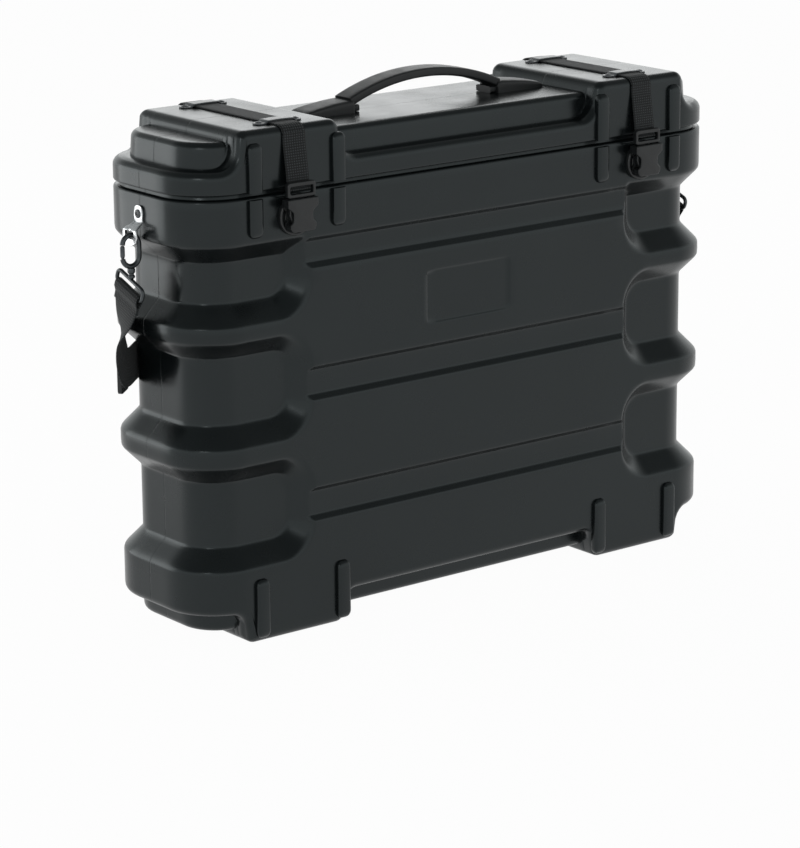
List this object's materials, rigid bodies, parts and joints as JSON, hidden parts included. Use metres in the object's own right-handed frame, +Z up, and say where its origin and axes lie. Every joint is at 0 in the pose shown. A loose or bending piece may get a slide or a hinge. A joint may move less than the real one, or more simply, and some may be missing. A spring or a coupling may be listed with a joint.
{
  "type": "flat-screen transport case",
  "caption": "Upright moulded case for a flat screen: hinged lid, webbing straps with side-release buckles, arched handle, foam lining, shoulder strap on snap hooks.",
  "frame": {"origin": "on the floor under the middle of the case, between its feet", "axes": "+X along the case to its right-hand end, -Y out of the front with the buckles, +Z up"},
  "size_m": [0.7054, 0.1987, 0.5075],
  "materials": {
    "shell": "fine grain",
    "handle": "satin",
    "foam": "closed-cell foam",
    "steel": "plated",
    "fitting": "satin",
    "buckle": "moulded",
    "hook": "black",
    "webbing": "woven"
  },
  "bodies": {
    "case": {"body_shell": "shell", "foam_base": "foam", "foam_front": "foam", "foam_rear": "foam", "foam_end_left": "foam", "foam_end_right": "foam", "strap_hinge_left": "webbing", "anchor_front_left": "fitting", "anchor_rear_left": "fitting", "buckle_socket_left": "buckle", "side_bracket_left": "steel", "strap_hinge_right": "webbing", "anchor_front_right": "fitting", "anchor_rear_right": "fitting", "buckle_socket_right": "buckle", "side_bracket_right": "steel", "anchor_screws": "steel", "bracket_screws": "steel", "shoulder_strap": "webbing", "strap_slider": "buckle"},
    "lid": {"lid_shell": "shell", "foam_lid": "foam", "handle_grip": "handle", "handle_cap_left": "handle", "handle_cap_right": "handle", "saddle_screws": "steel", "saddle_plate_front_left": "steel", "saddle_plate_rear_left": "steel", "strap_over_left": "webbing", "strap_front_left": "webbing", "saddle_plate_front_right": "steel", "saddle_plate_rear_right": "steel", "strap_over_right": "webbing", "strap_front_right": "webbing"},
    "latch_left": {"buckle_plug_left": "buckle"},
    "outer_prong_left": {"prong_outer_left": "buckle"},
    "inner_prong_left": {"prong_inner_left": "buckle"},
    "hook_left": {"snap_hook_left": "hook", "hook_swivel_left": "hook", "strap_ring_left": "hook", "strap_end_left": "webbing"},
    "gate_left": {"hook_gate_left": "hook"},
    "latch_right": {"buckle_plug_right": "buckle"},
    "outer_prong_right": {"prong_outer_right": "buckle"},
    "inner_prong_right": {"prong_inner_right": "buckle"},
    "hook_right": {"snap_hook_right": "hook", "hook_swivel_right": "hook", "strap_ring_right": "hook", "strap_end_right": "webbing"},
    "gate_right": {"hook_gate_right": "hook"}
  },
  "joints": [
    {"name": "lid_hinge", "type": "hinge", "parent": "case", "child": "lid", "pos_m": [0, 0.09, 0.42625], "axis": [-1, 0, 0], "range_deg": [0, 150]},
    {"name": "latch_pull_left", "type": "slide", "parent": "lid", "child": "latch_left", "axis": [0, 0, 1], "range_m": [0, 0.028], "deforming": ["strap_front_left"]},
    {"name": "outer_squeeze_left", "type": "hinge", "parent": "latch_left", "child": "outer_prong_left", "pos_m": [-0.2213, -0.0933, 0.42], "axis": [0, -1, 0], "range_deg": [0, 8], "stiffness_Nm_per_rad": 0.05},
    {"name": "inner_squeeze_left", "type": "hinge", "parent": "latch_left", "child": "inner_prong_left", "pos_m": [-0.2027, -0.0933, 0.42], "axis": [0, 1, 0], "range_deg": [0, 8], "stiffness_Nm_per_rad": 0.05},
    {"name": "hook_swing_left", "type": "hinge", "parent": "case", "child": "hook_left", "pos_m": [-0.33625, 0, 0.38275], "axis": [0, 1, 0], "range_deg": [0, 25]},
    {"name": "gate_push_left", "type": "hinge", "parent": "hook_left", "child": "gate_left", "pos_m": [-0.34525, 0, 0.3677], "axis": [0, 1, 0], "range_deg": [0, 15], "stiffness_Nm_per_rad": 0.02},
    {"name": "latch_pull_right", "type": "slide", "parent": "lid", "child": "latch_right", "axis": [0, 0, 1], "range_m": [0, 0.028], "deforming": ["strap_front_right"]},
    {"name": "outer_squeeze_right", "type": "hinge", "parent": "latch_right", "child": "outer_prong_right", "pos_m": [0.2213, -0.0933, 0.42], "axis": [0, 1, 0], "range_deg": [0, 8], "stiffness_Nm_per_rad": 0.05},
    {"name": "inner_squeeze_right", "type": "hinge", "parent": "latch_right", "child": "inner_prong_right", "pos_m": [0.2027, -0.0933, 0.42], "axis": [0, -1, 0], "range_deg": [0, 8], "stiffness_Nm_per_rad": 0.05},
    {"name": "hook_swing_right", "type": "hinge", "parent": "case", "child": "hook_right", "pos_m": [0.33625, 0, 0.38275], "axis": [0, -1, 0], "range_deg": [0, 25]},
    {"name": "gate_push_right", "type": "hinge", "parent": "hook_right", "child": "gate_right", "pos_m": [0.34525, 0, 0.3677], "axis": [0, -1, 0], "range_deg": [0, 15], "stiffness_Nm_per_rad": 0.02}
  ],
  "couplings": [
    {"joint": "inner_squeeze_left", "follows": "outer_squeeze_left", "ratio": 1},
    {"joint": "inner_squeeze_right", "follows": "outer_squeeze_right", "ratio": 1}
  ]
}
